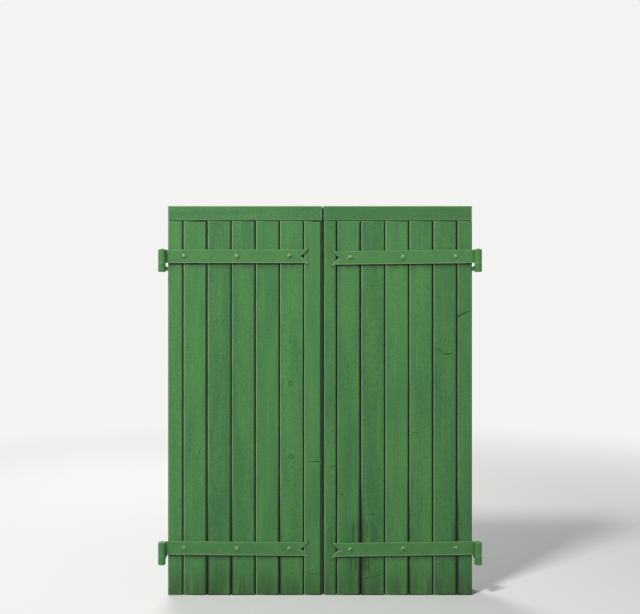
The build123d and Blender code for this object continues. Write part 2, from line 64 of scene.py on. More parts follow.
MERGE = 2e-6  # points nearer than this are one
SLIVER = MM / 100  # an edge of a rounded board that is shorter than this goes
FLAT = radians(0.3)  # faces that meet at less than this are one face
SHARP = radians(30)  # an edge at more than this stays sharp
SAME_DEPTH = MM / 10  # points that differ less than this in depth are on one face
FACING = 0.999  # a face whose normal reaches this along Y looks to the front or the back

LONG_EDGE = 200 * MM  # only the edges along a strap are longer
TAIL_FROM = 0.07  # a strap nearer to the middle than this is its fishtail
UPPER_WEAR_AND_HIGHLIGHT = 0.5  # worn paint with a painted highlight along a strap's upper edge, where the lower one has 1
FOOT = (0.36, 0.1)  # between these heights the dirt and painted shade beside the joints get thicker
EDGE_FRONT_DEPTH = 5 * MM  # down to this depth a board's edges take the listed dirt and painted shade
SHADED = -0.5  # the painted shade on a board's right edge behind that depth
WAVES = (14.0, 40.0, 3.0)  # how fast a board's wave changes across it, with its tone and along it
FINER_ACROSS = 3  # how much closer the cuts that let a board bend lie across it
PATTERN_SHIFT = (31.0, 17.0, 53.0)  # how far apart two pieces lie in a pattern

RING_STEPS = 24
PIT_REACH = 0.6  # a pit ends this far on either side of its middle, in millimetres
PIT_TAPER = 0.6  # the share of its radius that it has there

HEAD_RADIUS = 0.008  # of a coach bolt
HEAD_RISE = 0.004
HEAD_RIM = 0.0002  # height of the straight rim round the head
HEAD_EASE = (0.985, 0.0006)  # between dome and rim, the share of the radius and the height
DOME_SHARE = 0.93  # the share of the radius that the dome takes
DOME_STEPS = 8
HEAD_HIGHLIGHT = (0.7, 0.5)  # how far a point's height and its upper left side of the head count for a painted highlight
HOLLOW_RUST = 1.3  # in the middle of a hollow, where 1 hides the paint
BARE_FROM = 0.02  # behind this depth the bolts are bare metal
BOLT_SHANK = 0.003
THREAD_TURNS = 9
THREAD_DEPTH = 0.6  # share of the pitch
THREAD_WORN = 0.8  # share of that depth that is left
THREAD_END = 0.9  # in pitches before the tip
TIP_EASE = 0.0006
WASHER_HOLE = 0.0033
WASHER_EASE = 0.0002
SCREW_EASE = 0.00012
BOLT_STEPS, WASHER_STEPS, SCREW_STEPS = 32, 36, 24

# Where dirt, stains and painted shade lie, in metres. Two numbers are where they begin and where they are
# full. Three are the lowest and the highest place and how softly they end.
ON_FACE = (0.003, 0.0)
# Darker towards the foot of the boards.
FOOT_DARKENING = (0.11, 0.0)
BESIDE_MIDDLE = (0.044, 0.056)
# Under each strap: a darkening that fades downwards, dirt with painted shade, and a painted shadow line at
# its edge.
UNDER_STRAP = (-0.003, -0.001)
STRAP_WASH_AND_SHADE = (0.022, 0.003)
STRAP_SHADOW_LINE = (0.0062, 0.0038)
WASH_AND_SHADE_STRENGTH = 0.6
# A painted shade line under the top rails, and painted shade on the walls deep in the joints.
SHADE_UNDER_RAIL = (1.1228, 1.1244, 0.0008)
BELOW_RAIL = (1.1242, 1.1238)
ACROSS_LEAF = (0.0085, 0.4535, 0.0005)
IN_JOINT = (0.0016, 0.0245, 0.001)
JOINT_SEEP = (0.118, 0.128, 0.011)
SEEP_HEIGHT = (0.33, 0.2)
# Patches, each as such three numbers across and then up.
OUTER_SEEP = ((0.405, 0.418, 0.014), (0.16, 0.2, 0.05))
RAIL_STAIN = ((-0.15, -0.134, 0.008), (1.113, 1.121, 0.006))
STREAKS_ABOVE = ((0.086, 0.165, 0.012), (0.16, 0.2, 0.035))
STREAKS_BELOW = ((0.094, 0.15, 0.012), (0.085, 0.122, 0.035))
# Painted shadow on the boards and a painted highlight on the iron beside the fishtails' notches: from and to,
# as distances on to the strap, and how strongly along the upper and the lower side.
NOTCH_SHADOW = (-2.2 * MM, 1.0 * MM, (0.9, 0.6))
NOTCH_HIGHLIGHT = (0.2 * MM, 1.8 * MM, (0.35, 1.0))
NOTCH_SOFT = 0.7 * MM
PAST_APEX = 1.1  # a point of the strap beside a notch lies at this share of the apex's X

# The lamps, each with its place and its width. They look at one point of the leaves.
LAMPS = {
    "key": ((-1.5, -2.1, 3.9), 0.8),
    "fill": ((2.2, -2.6, 1.2), 1.8),
    "back": ((-1.3, 2.6, 2.6), 1.8),
}
LAMPS_AIM = (0.0, 0.0, 0.62)
FLOOR_RADIUS = 14.0
FLOOR_STEPS = 96
FLOOR_DROP = 0.0005  # under the foot of the leaves
FLOOR_FADE = (1.0, 4.0)  # the floor turns into the backdrop between these distances

# Marks in the paint of the boards, in millimetres: the piece, then the points as X and Z, each with the
# half width of the groove there.
CRACKS = {
    "left_board_2": [[(-357, 444.9, 0.2), (-362, 430, 0.35), (-368, 412, 0.35), (-372.9, 397.2, 0.15)]],
    "left_board_7": [
        [(-41, 400.5, 0.15), (-30, 401, 0.4), (-18, 400.2, 0.45), (-8, 400.9, 0.9)]
        + [(-3, 400.3, 0.7), (2.4, 400.5, 0.3)],
        [(-42, 64.8, 0.15), (-27, 63.4, 0.4), (-11, 61.5, 0.15)],
    ],
    "right_board_1": [
        [(412.8, 836, 0.75), (424, 840.8, 0.8), (438, 847.6, 0.6), (451, 853.8, 0.2)],
        [(413.4, 212, 0.3), (422, 213, 0.35), (430.5, 212.2, 0.15)],
    ],
    "right_board_2": [
        [(342.9, 741.3, 0.15), (355.5, 737.1, 0.6), (364.8, 732, 0.5), (369, 728, 0.25)],
        [(367.5, 726.2, 0.25), (372.3, 723.6, 0.75), (380.7, 722, 0.95)]
        + [(393.3, 724.5, 0.7), (398.7, 727, 0.2)],
        [(344.4, 92.4, 0.15), (358, 91.2, 0.35), (372, 92, 0.15)],
    ],
    "right_board_3": [
        [(275.4, 487.6, 0.15), (286, 486.8, 0.35), (296.7, 487.4, 0.15)],
        [(306, 410.8, 0.15), (315, 409.8, 0.4), (323.4, 410.4, 0.15)],
        [(270, 102.6, 0.15), (278, 101.6, 0.35), (285, 102.2, 0.15)],
    ],
    "right_board_5": [
        [(127.2, 46.5, 0.2), (140, 49.6, 0.5), (153, 53.1, 0.45), (170, 57.6, 0.4), (185.7, 60.6, 0.15)],
        [(150, 242.6, 0.15), (160, 241.2, 0.7), (168, 238.5, 0.2)],
        [(184, 344, 0.2), (191.5, 342.6, 0.45)],
        [(175, 383, 0.12), (176.5, 373, 0.3), (179, 361.5, 0.12)],
    ],
    "right_board_6": [[(54, 303.2, 0.2), (61, 302.4, 0.3), (67, 300.6, 0.75), (68.5, 300.2, 0.3)]],
    "right_board_7": [
        [(34.5, 384, 0.2), (38, 384.4, 0.75), (42, 387.2, 0.6), (45.6, 389.6, 0.25)],
        [(30.6, 753.2, 0.15), (35.6, 752.6, 0.35), (40.2, 753, 0.15)],
    ],
}
# Round marks, each as X, Z, radius of the ring and half width of its groove.
RINGS = {"left_board_6": [(-89.1, 636, 5.4, 0.5), (-87, 415.2, 5.6, 0.55)]}
# Small pits, each as X, Z and radius.
PITS = {
    "left_board_1": [(-418.8, 262.2, 1.0)],
    "left_board_3": [(-309, 1047.9, 1.2), (-327, 951, 1.6), (-321, 944.5, 1.1), (-297, 282.9, 1.2)],
    "left_board_4": [(-252, 1075.5, 1.2), (-249, 901.5, 1.3), (-243.5, 899, 0.9), (-258.6, 807.6, 1.1)],
    "left_board_6": [(-76.2, 824.1, 1.5), (-64.5, 415.5, 1.0)],
    "left_board_7": [(-11.4, 892, 0.8), (-10.5, 832, 0.8), (-14, 828, 0.6)],
    "right_board_3": [(312, 579, 1.1)],
    "right_board_4": [(229.5, 536.1, 1.1)],
    "right_board_6": [(86.1, 517.4, 1.1)],
    "right_board_7": [(38.9, 284.3, 1.0)],
}
# How thick the dirt and painted shade beside the joints lie on the edges of each leaf's boards, 1 to 7: at
# the right along most of its height and at its foot, and at the left at its foot, where 0 leaves the edge's
# lighter rim of worn paint and painted highlight.
SEAMS = {
    "left": [
        (0.9, 1.1, 0), (4.5, 7.0, 0), (0.8, 3.5, 2.0), (1.4, 1.8, 2.0), (0.9, 3.0, 0), (0.1, 0.1, 1.5),
        (3.5, 5.0, 0),
    ],
    "right": [
        (0.5, 0.5, 4.0), (1.2, 7.0, 0), (1.2, 0.6, 1.5), (0.9, 3.0, 0), (0.4, 0.6, 4.0), (2.2, 7.0, 0),
        (0.7, 0.9, 0),
    ],
}
# Worn hollows in the bolt heads, by leaf, level and count from the hinge: across and up from the middle of
# the head, width and depth, in millimetres.
HOLLOWS = {
    ("left", "upper", 2): (1.8, -1.6, 2.8, 1.3),
    ("right", "upper", 2): (-0.6, -2.6, 2.6, 1.4),
    ("left", "lower", 0): (0.0, -0.4, 1.6, 1.5),
    ("left", "lower", 2): (0.5, -0.8, 2.4, 1.4),
    ("right", "lower", 2): (0.8, -0.8, 2.6, 1.5),
    ("right", "lower", 1): (0.3, -1.0, 2.4, 1.4),
    ("right", "lower", 0): (-2.2, -2.0, 2.2, 1.2),
}


def amount(name, description, default, least=0.0, **unit):
    """A number in the panel, as it is or with a unit."""
    return FloatProperty(name=name, description=description, default=default, min=least, **unit)


def metres(name, description, default, least=0.0):
    """A length that the panel shows in the scene's units."""
    return amount(name, description, default, least, unit="LENGTH", precision=5)


def swatch(name, description, default):
    """A colour swatch."""
    return FloatVectorProperty(
        name=name, description=description, default=default, subtype="COLOR", size=3, min=0.0, max=1.0
    )


class ShutterSizes(PropertyGroup):
    """Sizes of the details that the boards and the ironwork get."""

    board_round: metres("Board edges", "Rounding of the boards' edges", 0.0004)
    timber_round: metres("Timber edges", "Rounding of the rails and ledges", 0.0006)
    post_round: metres("Post edges", "Rounding of the frame's jambs and middle post", 0.00025)
    iron_round: metres("Iron edges", "Rounding of the straps and pintles", 0.0006)
    small_round: metres("Small ironwork edges", "Rounding of plates, knobs and nuts", 0.0003)
    board_wave: metres("Board wave", "How far a board's face rises and falls", 0.00018)
    wave_step: metres("Wave step", "Spacing of the cuts along a board", 0.036, 0.005)
    # The rims take lighter paint along the edges: worn paint with a painted highlight.
    board_rim: metres("Board rim", "Worn strip along a board's edges", 0.0034)
    rail_rim: metres("Rail rim", "Worn strip along a rail's edges", 0.0024)
    iron_rim: metres("Iron rim", "Worn strip along a strap's edges", 0.003)
    crack_width: amount("Crack width", "How wide the cracks are, 1 as listed", 1.7, 0.1)
    crack_depth: amount("Crack depth", "Depth of a crack for its half width", 2.2, 0.1)
    thread_pitch: metres("Thread pitch", "Pitch of the coach bolts' threads", 0.001, 0.0002)
    slot_width: metres("Slot width", "Width of the slots of the wood screws", 0.0009, 0.0002)


class ShutterColours(PropertyGroup):
    """Colours of the finishes."""

    paint: swatch("Paint", "Green of the boards", (0.062, 0.22, 0.051))
    paint_deep: swatch("Deep paint", "Darker and bluer parts of the green", (0.037, 0.166, 0.046))
    # Lighter paint on rubbed edges, also the painted highlight on rims, notches and bolt heads.
    paint_worn: swatch("Worn paint", "Paint on rubbed edges", (0.24, 0.4, 0.2))
    # Near-black green laid as painted shade in the joints, under the rails and straps and along the notches,
    # and with dirt beside the joints.
    joint: swatch("Joints", "Thin, dirty paint deep in the joints", (0.0015, 0.006, 0.0015))
    # Dirt on the boards, also laid as painted shade under the straps.
    grime: swatch("Grime", "Dirt that rain carries down the boards", (0.026, 0.045, 0.017))
    crack: swatch("Crack", "Dirt and bare wood in the cracks", (0.004, 0.009, 0.003))
    rust: swatch("Rust", "Rust in the hollows of the bolt heads", (0.024, 0.019, 0.009))
    stain: swatch("Stain", "Brown stain under the top rail", (0.115, 0.135, 0.04))
    zinc: swatch("Zinc", "Dull zinc on washers, nuts and screws", (0.34, 0.35, 0.36))
    steel: swatch("Steel", "Rubbed steel of the sliding bolts", (0.4, 0.39, 0.37))


class ShutterStage(PropertyGroup):
    """The camera, the lamps and the floor."""

    camera_distance: metres("Camera distance", "From the boards' faces to the camera", 2.6, 0.5)
    camera_height: metres("Camera height", "Above the foot of the leaves", 0.864)
    lens: amount("Lens", "Focal length in millimetres", 48.75, 10.0)
    key_power: amount("Key lamp", "Power of the main lamp in watts", 140.0)
    fill_power: amount("Fill lamp", "Power of the fill lamp in watts", 7.0)
    back_power: amount("Back lamp", "Power of the rear lamp in watts", 75.0)
    sky: amount("Sky", "Strength of the even light all round", 0.19)
    floor: swatch("Floor", "Colour of the floor", (0.78, 0.78, 0.77))
    backdrop: swatch("Backdrop", "Colour behind the object", (0.9, 0.9, 0.89))


class Wire:
    """One output socket of a tree. Arithmetic on it adds Math nodes."""

    def __init__(self, tree, socket):
        self.tree = tree
        self.socket = socket

    def maths(self, operation, *values, clamp=False):
        inputs = dict(enumerate(values))
        return self.tree.add("Math", inputs, operation=operation, use_clamp=clamp)

    def __add__(self, other):
        return self.maths("ADD", self, other)

    __radd__ = __add__

    def __mul__(self, other):
        return self.maths("MULTIPLY", self, other)

    def __sub__(self, other):
        return self.maths("SUBTRACT", self, other)

    def __rsub__(self, other):
        return self.maths("SUBTRACT", other, self)

    def __abs__(self):
        return self.maths("ABSOLUTE", self)

    def root(self):
        return self.maths("SQRT", self)

    def clamped(self):
        return self.maths("ADD", self, 0.0, clamp=True)

    def larger(self, other):
        return self.maths("MAXIMUM", self, other)

    def beside(self, name):
        """Another output of the same node."""
        return Wire(self.tree, self.socket.node.outputs[name])


class Tree:
    """The nodes of one material or of the world."""

    def __init__(self, owner):
        owner.use_nodes = True
        self.nodes = owner.node_tree.nodes
        self.links = owner.node_tree.links
        self.nodes.clear()

    def add(self, kind, values=(), out=0, **settings):
        """Add a node, set it up, fill its sockets with values or wires, and return one output."""
        node = self.nodes.new("ShaderNode" + kind)
        for name, value in settings.items():
            setattr(node, name, value)
        for name, value in dict(values).items():
            if isinstance(value, Wire):
                self.links.new(value.socket, node.inputs[name])
            else:
                node.inputs[name].default_value = value
        return Wire(self, node.outputs[out]) if node.outputs else None

    def place(self):
        """Where a point lies on its object."""
        return self.add("TexCoord", out="Object")

    def noise(self, vector, stretch, detail=2.0, roughness=0.5, distortion=0.0):
        """Noise with its own scale along each axis."""
        mapped = self.add("Mapping", {"Vector": vector, "Scale": stretch})
        values = {"Vector": mapped, "Scale": 1.0, "Detail": detail, "Roughness": roughness}
        return self.add("TexNoise", {**values, "Distortion": distortion})

    def ramp(self, factor, low, high):
        """0 below low and 1 above high, eased between, also where high is the smaller."""
        values = {"Value": factor, "From Min": low, "From Max": high}
        return self.add("MapRange", values, interpolation_type="SMOOTHSTEP")

    def band(self, value, low, high, soft):
        """1 between two values, fading over a soft width outside them."""
        return self.ramp(value, low - soft, low) * self.ramp(value, high + soft, high)

    def layer(self, colour, over, mask, strength=None):
        """Lay a property's colour over another where the mask says, in full where no strength is given."""
        if strength is not None:
            mask = mask * strength
        return self.add("Mix", {0: mask, 6: colour, 7: opaque(over)}, 2, data_type="RGBA")

    def brighten(self, colour, factor):
        """A colour times a number."""
        return self.add("VectorMath", {0: colour, 3: factor}, operation="SCALE")

    def attribute(self, name):
        """A number stored on the mesh."""
        return self.add("Attribute", out="Fac", attribute_name=name)

    def surface(self, colour, roughness, height, metallic=0.0):
        """The shader and the output; height is in metres."""
        bump = self.add("Bump", {"Strength": 1.0, "Distance": 1.0, "Height": height})
        values = {"Base Color": colour, "Roughness": roughness, "Metallic": metallic, "Normal": bump}
        shader = self.add("BsdfPrincipled", values)
        self.add("OutputMaterial", {"Surface": shader})


def opaque(colour):
    """A property's colour as a socket takes it."""
    return (*colour, 1.0)


def own_coordinates(tree):
    """Object coordinates, shifted by the piece's own tone so that no two pieces share a pattern."""
    plain = tree.place()
    tone = tree.attribute("tone")
    steps = {axis: tone * step for axis, step in zip("XYZ", PATTERN_SHIFT)}
    shift = tree.add("CombineXYZ", steps)
    return plain, tone, tree.add("VectorMath", {0: plain, 1: shift}, operation="ADD")


def split(tree, vector):
    """The three parts of a vector."""
    first = tree.add("SeparateXYZ", {"Vector": vector})
    return [first.beside(part) for part in "XYZ"]


def even(scale):
    """The same scale along all three axes."""
    return (scale, scale, scale)


def varied(middle, *parts):
    """A number raised and lowered by noises, each given with how strongly it counts."""
    for part, strength in parts:
        middle = middle + (part - 0.5) * strength
    return middle


def patch(tree, x, z, place):
    """A mask over one of the patches listed at the top."""
    across, up = place
    return tree.band(x, *across) * tree.band(z, *up)


def box_of(points):
    """The lowest and the highest corner round some points."""
    axes = list(zip(*points))
    return Vector([min(axis) for axis in axes]), Vector([max(axis) for axis in axes])


def long_edges(shape):
    """The edges that run along a strap."""
    return [edge for edge in shape.edges if edge.calc_length() > LONG_EDGE]


def lower_edge(node):
    """The line of a strap's lower edge, as its height at X = 0 and its slope."""
    shape = joined(node)
    lowest = min(long_edges(shape), key=lambda edge: edge.verts[0].co.z + edge.verts[1].co.z)
    first, last = (vert.co for vert in lowest.verts)
    slope = (last.z - first.z) / (last.x - first.x)
    height = first.z - slope * first.x
    shape.free()
    return height, slope


def notch_sides(node):
    """Both curved sides of a strap's fishtail notch, the upper one first.

    Each is the middle and the radius of its circle, 1 or -1 for a strap outside or inside that circle, and
    the corners of its box.
    """
    shape = joined(node)
    tail = [vert for vert in shape.verts if abs(vert.co.x) < TAIL_FROM]
    face = min(vert.co.y for vert in tail)
    tail = [vert for vert in tail if vert.co.y < face + SAME_DEPTH]
    apex = max(tail, key=lambda vert: abs(vert.co.x))
    on_strap = Vector((apex.co.x * PAST_APEX, apex.co.z))
    found = []
    for first in (max, min):
        vert, route = apex, [apex.co.xz]
        while True:
            beyond = [edge.other_vert(vert) for edge in vert.link_edges if edge.calc_face_angle(0.0) > SHARP]
            beyond = [other for other in beyond if other in tail and abs(other.co.x) < abs(vert.co.x) - MERGE]
            if not beyond:
                break
            vert = first(beyond, key=lambda other: other.co.z)
            route.append(vert.co.xz)
        middle = circle_middle(route[0], route[len(route) // 2], route[-1])
        radius = (route[0] - middle).length
        outside = 1.0 if (on_strap - middle).length > radius else -1.0
        found.append((middle, radius, outside, *box_of(route)))
    shape.free()
    return found


def circle_middle(first, second, third):
    """The middle of the circle through three points of a plane."""
    one, two = second - first, third - first
    across = two.y * one.length_squared - one.y * two.length_squared
    up = one.x * two.length_squared - two.x * one.length_squared
    return first + Vector((across, up)) / (2 * one.cross(two))


def beside_notches(tree, x, z, low, high, strengths):
    """A mask along the notches' sides, from low to high on to the strap, with a strength for each side."""
    mask = x * 0.0
    for side, level in PLACES:
        for strength, curve in zip(strengths, notch_sides(f"{side}_{level}_strap")):
            middle, radius, outside, start, end = curve
            across, up = x - middle.x, z - middle.y
            onto = ((across * across + up * up).root() - radius) * outside
            near = tree.band(x, start[0], end[0], MM) * tree.band(z, start[1], end[1], MM)
            mask = mask.larger(tree.band(onto, low, high, NOTCH_SOFT) * near * strength)
    return mask


def under_straps(tree, x, z):
    """A mask for the darkening under the straps, dirt with painted shade, and towards the foot, and one for
    the painted shadow line under each strap.
    """
    washed_and_shaded = tree.ramp(z, *FOOT_DARKENING) * WASH_AND_SHADE_STRENGTH
    shadow_lines = x * 0.0
    for side, sign in zip(SIDES, (-1.0, 1.0)):
        beside = tree.ramp(x * sign, *BESIDE_MIDDLE)
        for level in LEVELS:
            height, slope = lower_edge(f"{side}_{level}_strap")
            below = height + x * slope - z
            under = tree.ramp(below, *UNDER_STRAP) * beside
            washed_and_shaded = washed_and_shaded.larger(under * tree.ramp(below, *STRAP_WASH_AND_SHADE) * WASH_AND_SHADE_STRENGTH)
            shadow_lines = shadow_lines.larger(under * tree.ramp(below, *STRAP_SHADOW_LINE))
    return washed_and_shaded, shadow_lines


def painted_wood(name, colours, across):
    """Green paint, brushed along timber whose grain shows through; across for timber that lies along X."""
    tree = Tree(bpy.data.materials.new(name))

    def along(thin, long):
        return (long, thin, thin) if across else (thin, thin, long)

    plain, tone, own = own_coordinates(tree)
    x, y, z = split(tree, plain)
    clouds = tree.noise(own, along(26.0, 4.0), detail=3.0)
    strokes = tree.noise(own, along(420.0, 9.0), roughness=0.6)
    grain = tree.noise(own, along(130.0, 2.4), detail=4.0, roughness=0.6, distortion=0.35)
    grit = tree.noise(own, even(200.0), detail=3.0, roughness=0.75)
    hue = tree.ramp(clouds + tone * 0.12, 0.3, 0.8)
    colour = tree.layer(opaque(colours.paint_deep), colours.paint, hue)
    colour = tree.brighten(colour, varied(1.0, (strokes, 0.46), (grain, 0.34), (grit, 1.3), (tone, 0.16)))
    specks = tree.ramp(tree.noise(own, (210.0, 210.0, 150.0), detail=1.0, roughness=0.4), 0.68, 0.76)
    colour = tree.layer(colour, colours.grime, specks, 0.5)

    # Under the straps the boards darken, dirt with painted shade, and they darken towards their feet; a
    # painted shadow line runs under each strap.
    front = tree.ramp(y, *ON_FACE)
    wander = tree.noise(own, (60.0, 60.0, 9.0), detail=3.0)
    washed_and_shaded, shadow_lines = under_straps(tree, x, z)
    dirt_and_shade = washed_and_shaded * tree.ramp(wander, 0.2, 0.6)
    colour = tree.layer(colour, colours.grime, (dirt_and_shade * front).clamped())
    colour = tree.layer(colour, colours.joint, shadow_lines * front, 0.88)

    # A stain under the left rail, and the worn, streaked patch round the lower right fishtail.
    stain = patch(tree, x, z, RAIL_STAIN) * front
    colour = tree.layer(colour, colours.stain, stain * tree.ramp(grit, 0.35, 0.6), 0.75)
    hairs = tree.ramp(tree.noise(plain, (420.0, 420.0, 7.0), detail=3.0, roughness=0.7), 0.5, 0.62)
    streaks = patch(tree, x, z, STREAKS_ABOVE).larger(patch(tree, x, z, STREAKS_BELOW)) * hairs * front
    beside_joint = tree.band(x, *JOINT_SEEP) * tree.ramp(z, *SEEP_HEIGHT)
    seeped = beside_joint.larger(patch(tree, x, z, OUTER_SEEP)) * tree.ramp(wander, 0.25, 0.6) * front
    colour = tree.layer(colour, colours.grime, seeped.clamped(), 0.75)
    colour = tree.layer(colour, colours.crack, streaks, 0.85)

    # A painted shadow lies along the notches of the fishtails.
    colour = tree.layer(colour, colours.joint, beside_notches(tree, x, z, *NOTCH_SHADOW) * front)

    # An edge above 0 is lighter, worn paint with a painted highlight. One below 0 is darker, dirt with
    # painted shade, as the joints are; the line under the rails and the deep walls of the joints are painted
    # shade.
    edge = tree.attribute("edge")
    colour = tree.layer(colour, colours.paint_worn, edge * tree.ramp(wander, 0.2, 0.5), 0.85)
    colour = tree.layer(colour, colours.joint, (edge * (-0.7 - wander * 0.6)).clamped())
    colour = tree.layer(colour, colours.joint, tree.band(z, *SHADE_UNDER_RAIL) * front, 0.9)
    inside = tree.band(abs(x), *ACROSS_LEAF) * tree.band(y, *IN_JOINT)
    colour = tree.layer(colour, colours.joint, inside * tree.ramp(z, *BELOW_RAIL))
    roughness = varied(0.58, (strokes, 0.24)) + dirt_and_shade * 0.2 + streaks * 0.2
    height = strokes * 0.00022 + grain * 0.0005 + grit * 0.00006 - specks * 0.0002 - streaks * 0.0004
    tree.surface(colour, roughness.clamped(), height)


def painted_iron(colours):
    """The same paint in thick coats over forged iron."""
    tree = Tree(bpy.data.materials.new(IRON_PAINT))
    plain, tone, own = own_coordinates(tree)
    clouds = tree.noise(own, even(30.0), detail=3.0)
    hammer = tree.noise(own, even(85.0), roughness=0.4)
    grit = tree.noise(own, even(480.0), roughness=0.7)
    colour = tree.layer(opaque(colours.paint_deep), colours.paint, tree.ramp(clouds, 0.35, 0.65))
    colour = tree.layer(colour, colours.paint, 0.55)
    colour = tree.brighten(colour, varied(1.0, (hammer, 0.2), (grit, 0.3), (tone, 0.1)))
    x, _, z = split(tree, plain)
    # Lighter paint along the notches' rims, stronger on the lower side: a painted highlight.
    edge = tree.attribute("edge").larger(beside_notches(tree, x, z, *NOTCH_HIGHLIGHT))
    colour = tree.layer(colour, colours.paint_worn, edge * tree.ramp(clouds, 0.2, 0.45), 0.9)
    chips = tree.attribute("rust") * tree.ramp(grit, 0.3, 0.5)
    spots = tree.ramp(tree.noise(own, even(210.0), roughness=0.6), 0.71, 0.77)
    bare = chips.larger(spots * 0.6)
    colour = tree.layer(colour, colours.rust, bare)
    roughness = varied(0.5, (grit, 0.2)) + bare * 0.3
    height = hammer * 0.0005 + grit * 0.00005 - bare * 0.0001
    tree.surface(colour, roughness.clamped(), height)


def crack_lining(colours):
    """Grey wood and dirt at the bottom of the cracks."""
    tree = Tree(bpy.data.materials.new(LINING))
    grit = tree.noise(tree.place(), even(700.0), roughness=0.7)
    tree.surface(tree.brighten(tuple(colours.crack), 0.6 + grit), 0.85, grit * 0.0001)


def metal(name, colour, dullness, stretch):
    """Bare metal, scratched along one axis or mottled where the stretch is even."""
    tree = Tree(bpy.data.materials.new(name))
    _, tone, own = own_coordinates(tree)
    scratches = tree.noise(own, stretch, detail=3.0, roughness=0.65)
    clouds = tree.noise(own, even(70.0), detail=3.0)
    tarnish = tree.ramp(clouds, 0.5, 0.72)
    shade = 0.82 + scratches * 0.3 - tarnish * 0.25 + (tone - 0.5) * 0.1
    roughness = varied(dullness, (scratches, 0.25)) + tarnish * 0.2
    height = scratches * 0.00002 + clouds * 0.00003
    tree.surface(tree.brighten(tuple(colour), shade), roughness.clamped(), height, metallic=1.0)


def body_of(node):
    """The name of the body that a CAD node belongs to."""
    bodies = frame["record"]["behaviour"]["bodies"]
    return next(name for name, nodes in bodies.items() if node in nodes)


def joined(node):
    """The CAD node's triangles merged to one skin, with its flat faces whole."""
    shape = bmesh.new()
    shape.from_mesh(frame["nodes"][node].data)
    bmesh.ops.remove_doubles(shape, verts=shape.verts, dist=MERGE)
    bmesh.ops.dissolve_limit(shape, angle_limit=FLAT, verts=shape.verts, edges=shape.edges)
    return shape


def soften(shape, radius, rim=0.0):
    """Round the sharp edges and mark where paint is lighter, worn with a painted highlight: their crests, and
    a rim on the front and back.
    """
    sharp = [edge for edge in shape.edges if edge.is_manifold and edge.calc_face_angle() > SHARP]
    settings = {"segments": 2, "profile": 0.5, "affect": "EDGES", "clamp_overlap": True, "material": -1}
    made = bmesh.ops.bevel(shape, geom=sharp, offset=radius, **settings)
    rounded = {face for face in made["faces"] if face.is_valid}
    layer = shape.verts.layers.float.new("edge")
    for vert in shape.verts:
        if all(face in rounded for face in vert.link_faces):
            vert[layer] = 1.0
    for facing in (-1.0, 1.0):
        flat = [face for face in shape.faces if face.normal.y * facing > FACING]
        widest = max(flat, key=lambda face: face.calc_area(), default=None)
        if rim and widest:
            depth = widest.calc_center_median().y
            region = [face for face in flat if abs(face.calc_center_median().y - depth) < SAME_DEPTH]
            settings = {"thickness": rim, "use_boundary": True, "use_even_offset": True}
            made = bmesh.ops.inset_region(shape, faces=region, **settings)
            inner = {vert for face in region for vert in face.verts}
            for vert in inner.union(*(face.verts for face in made["faces"])):
                vert[layer] = 0.0 if vert in inner else 1.0


def shade_far_edge(shape, dirt_and_shade):
    """Turn the lighter rim into dirt and painted shade along a board's right edge, away from the light, and
    at some left feet.
    """
    layer = shape.verts.layers.float["edge"]
    front = [vert.co.x for vert in shape.verts if vert.co.y < SAME_DEPTH]
    upper, foot, left_foot = dirt_and_shade
    for vert in shape.verts:
        if vert[layer] <= 0.0:
            continue
        share = max(0.0, min(1.0, (FOOT[0] - vert.co.z) / (FOOT[0] - FOOT[1])))
        in_front = vert.co.y < EDGE_FRONT_DEPTH
        if vert.co.x > max(front) - MM:
            vert[layer] = -(upper + (foot - upper) * share) if in_front else SHADED
        elif vert.co.x < min(front) + MM and left_foot and in_front:
            vert[layer] = 1.0 - (1.0 + left_foot) * share


def slice_at(shape, point, normal):
    """Cut the whole skin with a plane."""
    parts = shape.verts[:] + shape.edges[:] + shape.faces[:]
    bmesh.ops.bisect_plane(shape, geom=parts, dist=MERGE, plane_co=point, plane_no=normal)


def wear_strap(shape, rim):
    """Mark a lighter rim of worn paint and painted highlight along the lower and the upper edge of a strap,
    the upper one less.
    """
    long = long_edges(shape)
    longest = max(long, key=lambda edge: edge.calc_length())
    run = (longest.verts[1].co - longest.verts[0].co).normalized()
    rise = Vector((-run.z, 0.0, run.x)) * (1.0 if run.x > 0 else -1.0)
    heights = [vert.co.dot(rise) for edge in long for vert in edge.verts]
    low, high = min(heights), max(heights)
    for height in (low + rim, high - rim):
        slice_at(shape, rise * height, rise)
    layer = shape.verts.layers.float["edge"]
    for vert in shape.verts:
        height = vert.co.dot(rise)
        if height < low + rim / 2:
            vert[layer] = 1.0
        elif height > high - rim / 2:
            vert[layer] = UPPER_WEAR_AND_HIGHLIGHT


def cut_across(shape, axis, step):
    """Cut the skin with evenly spaced planes, so that it can bend."""
    places = [vert.co[axis] for vert in shape.verts]
    low, high = min(places), max(places)
    count = int((high - low) / step)
    normal = Matrix.Identity(3)[axis].copy()
    for number in range(1, count + 1):
        slice_at(shape, normal * (low + (high - low) * number / (count + 1)), normal)


def tone_for(name):
    """A steady number between 0 and 1 for a piece."""
    return Random(name).random()


def set_tone(shape, tone):
    """Store the piece's tone on every point."""
    layer = shape.verts.layers.float.new("tone")
    for vert in shape.verts:
        vert[layer] = tone


def add_object(name, data):
    """Put a mesh, curve, camera or lamp into the scene."""
    holder = bpy.data.objects.new(name, data)
    bpy.context.scene.collection.objects.link(holder)
    return holder


def to_mesh(name, shape):
    """Turn a shape into a mesh."""
    mesh = bpy.data.meshes.new(name)
    shape.to_mesh(mesh)
    shape.free()
    return mesh


def final_mesh(holder):
    """An object's mesh after its modifiers."""
    graph = bpy.context.evaluated_depsgraph_get()
    return bpy.data.meshes.new_from_object(holder.evaluated_get(graph))


